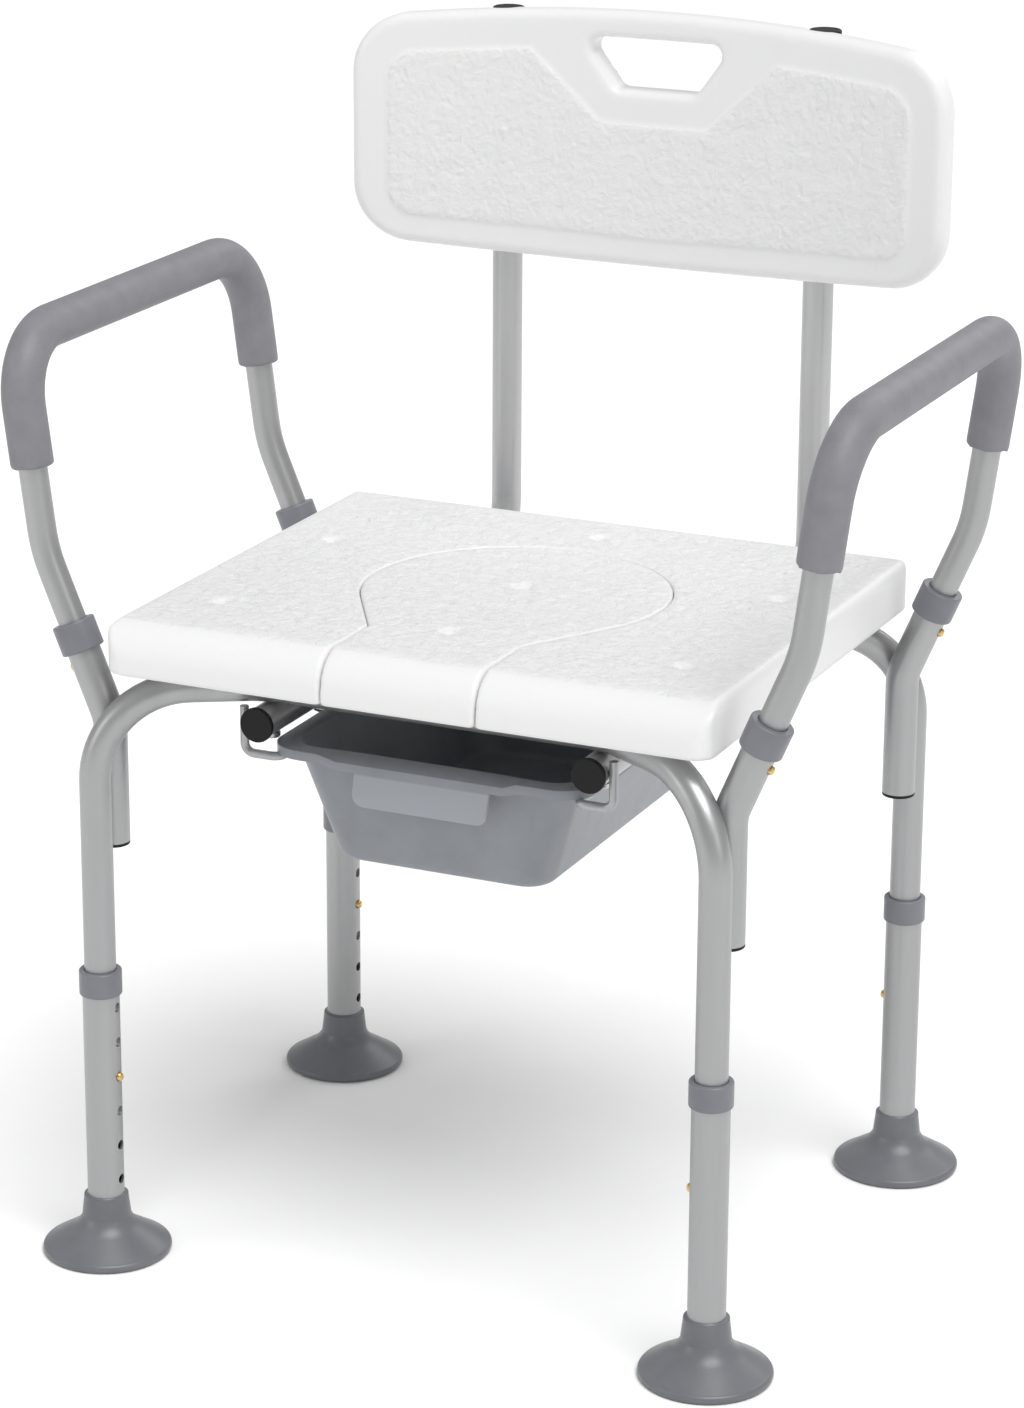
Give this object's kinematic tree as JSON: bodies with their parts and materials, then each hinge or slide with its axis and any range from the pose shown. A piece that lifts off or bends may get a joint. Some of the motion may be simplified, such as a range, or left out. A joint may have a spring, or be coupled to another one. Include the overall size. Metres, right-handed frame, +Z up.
{
  "type": "shower commode chair",
  "caption": "Shower and commode chair with removable armrests, a backrest, height-adjustable legs, a lift-out keyhole seat insert and a slide-out pail.",
  "frame": {"origin": "on the floor, under the middle of the chair seen from above", "axes": "+Z up, +Y towards the backrest, +X to the right of someone who faces the front of the chair"},
  "size_m": [0.622, 0.5038, 0.8305],
  "materials": {
    "satin_tube": "satin silver-grey, fine brushed grain along the tube",
    "white_plastic": "white moulded polyethylene, fine leather grain on the seating faces",
    "grey_plastic": "mid grey moulded plastic",
    "grey_rubber": "mid grey rubber, slightly glossy",
    "grip_foam": "mid grey closed-cell sleeve",
    "black_plastic": "black moulded plastic",
    "brass": "plain brass",
    "spring_steel": "bare spring steel strip",
    "zinc_steel": "zinc-plated steel",
    "wire_steel": "silver-painted steel rod",
    "pail_plastic": "blue-grey moulded plastic"
  },
  "bodies": {
    "frame": {"front_frame": "satin_tube", "back_frame": "satin_tube", "arm_receiver_front_left": "satin_tube", "arm_receiver_front_right": "satin_tube", "arm_receiver_back_left": "satin_tube", "arm_receiver_back_right": "satin_tube", "receiver_caps": "black_plastic", "arm_collars": "grey_plastic", "rail_post_left": "satin_tube", "rail_post_right": "satin_tube", "rail_caps": "black_plastic", "post_caps": "black_plastic", "seat_panel": "white_plastic", "seat_bolts": "zinc_steel", "seat_inserts": "brass", "pail_wire_left": "wire_steel", "pail_wire_right": "wire_steel", "backrest": "white_plastic", "back_bolts": "zinc_steel", "leg_spring_front_left": "spring_steel", "leg_spring_front_right": "spring_steel", "leg_spring_back_left": "spring_steel", "leg_spring_back_right": "spring_steel"},
    "leg_front_left": {"lower_leg_front_left": "satin_tube", "leg_collar_front_left": "grey_plastic", "foot_front_left": "grey_rubber"},
    "leg_front_right": {"lower_leg_front_right": "satin_tube", "leg_collar_front_right": "grey_plastic", "foot_front_right": "grey_rubber"},
    "leg_back_left": {"lower_leg_back_left": "satin_tube", "leg_collar_back_left": "grey_plastic", "foot_back_left": "grey_rubber"},
    "leg_back_right": {"lower_leg_back_right": "satin_tube", "leg_collar_back_right": "grey_plastic", "foot_back_right": "grey_rubber"},
    "leg_latch_front_left": {"leg_button_front_left": "brass"},
    "leg_latch_front_right": {"leg_button_front_right": "brass"},
    "leg_latch_back_left": {"leg_button_back_left": "brass"},
    "leg_latch_back_right": {"leg_button_back_right": "brass"},
    "arm_left": {"arm_tube_left": "satin_tube", "grip_left": "grip_foam", "arm_spring_front_left": "spring_steel", "arm_spring_back_left": "spring_steel"},
    "arm_right": {"arm_tube_right": "satin_tube", "grip_right": "grip_foam", "arm_spring_front_right": "spring_steel", "arm_spring_back_right": "spring_steel"},
    "arm_latch_front_left": {"arm_button_front_left": "brass"},
    "arm_latch_front_right": {"arm_button_front_right": "brass"},
    "arm_latch_back_left": {"arm_button_back_left": "brass"},
    "arm_latch_back_right": {"arm_button_back_right": "brass"},
    "keyhole_insert": {"seat_insert": "white_plastic"},
    "commode_pail": {"pail": "pail_plastic"}
  },
  "joints": [
    {"name": "leg_height_front_left", "type": "slide", "parent": "frame", "child": "leg_front_left", "axis": [0, 0, 1], "range_m": [-0.052, 0.078], "deforming": ["leg_button_front_left"]},
    {"name": "leg_height_front_right", "type": "slide", "parent": "frame", "child": "leg_front_right", "axis": [0, 0, 1], "range_m": [-0.052, 0.078], "deforming": ["leg_button_front_right"]},
    {"name": "leg_height_back_left", "type": "slide", "parent": "frame", "child": "leg_back_left", "axis": [0, 0, 1], "range_m": [-0.052, 0.078], "deforming": ["leg_button_back_left"]},
    {"name": "leg_height_back_right", "type": "slide", "parent": "frame", "child": "leg_back_right", "axis": [0, 0, 1], "range_m": [-0.052, 0.078], "deforming": ["leg_button_back_right"]},
    {"name": "leg_button_press_front_left", "type": "slide", "parent": "frame", "child": "leg_latch_front_left", "axis": [-1, 0, 0], "range_m": [0, 0.0046], "stiffness_N_per_m": 2500, "springref_m": -0.002, "deforming": ["leg_spring_front_left"]},
    {"name": "leg_button_press_front_right", "type": "slide", "parent": "frame", "child": "leg_latch_front_right", "axis": [1, 0, 0], "range_m": [0, 0.0046], "stiffness_N_per_m": 2500, "springref_m": -0.002, "deforming": ["leg_spring_front_right"]},
    {"name": "leg_button_press_back_left", "type": "slide", "parent": "frame", "child": "leg_latch_back_left", "axis": [-1, 0, 0], "range_m": [0, 0.0046], "stiffness_N_per_m": 2500, "springref_m": -0.002, "deforming": ["leg_spring_back_left"]},
    {"name": "leg_button_press_back_right", "type": "slide", "parent": "frame", "child": "leg_latch_back_right", "axis": [1, 0, 0], "range_m": [0, 0.0046], "stiffness_N_per_m": 2500, "springref_m": -0.002, "deforming": ["leg_spring_back_right"]},
    {"name": "arm_lift_left", "type": "slide", "parent": "frame", "child": "arm_left", "axis": [-0.3875, 0, 0.9219], "range_m": [0, 0.3]},
    {"name": "arm_lift_right", "type": "slide", "parent": "frame", "child": "arm_right", "axis": [0.3875, 0, 0.9219], "range_m": [0, 0.3]},
    {"name": "arm_button_press_front_left", "type": "slide", "parent": "arm_left", "child": "arm_latch_front_left", "axis": [0.9219, 0, 0.3875], "range_m": [0, 0.0044], "stiffness_N_per_m": 2500, "springref_m": -0.002, "deforming": ["arm_spring_front_left"]},
    {"name": "arm_button_press_front_right", "type": "slide", "parent": "arm_right", "child": "arm_latch_front_right", "axis": [-0.9219, 0, 0.3875], "range_m": [0, 0.0044], "stiffness_N_per_m": 2500, "springref_m": -0.002, "deforming": ["arm_spring_front_right"]},
    {"name": "arm_button_press_back_left", "type": "slide", "parent": "arm_left", "child": "arm_latch_back_left", "axis": [0.9219, 0, 0.3875], "range_m": [0, 0.0044], "stiffness_N_per_m": 2500, "springref_m": -0.002, "deforming": ["arm_spring_back_left"]},
    {"name": "arm_button_press_back_right", "type": "slide", "parent": "arm_right", "child": "arm_latch_back_right", "axis": [-0.9219, 0, 0.3875], "range_m": [0, 0.0044], "stiffness_N_per_m": 2500, "springref_m": -0.002, "deforming": ["arm_spring_back_right"]},
    {"name": "insert_lift", "type": "slide", "parent": "frame", "child": "keyhole_insert", "axis": [0, 0, 1], "range_m": [0, 0.15]},
    {"name": "pail_slide", "type": "slide", "parent": "frame", "child": "commode_pail", "axis": [0, -1, 0], "range_m": [0, 0.32]}
  ]
}
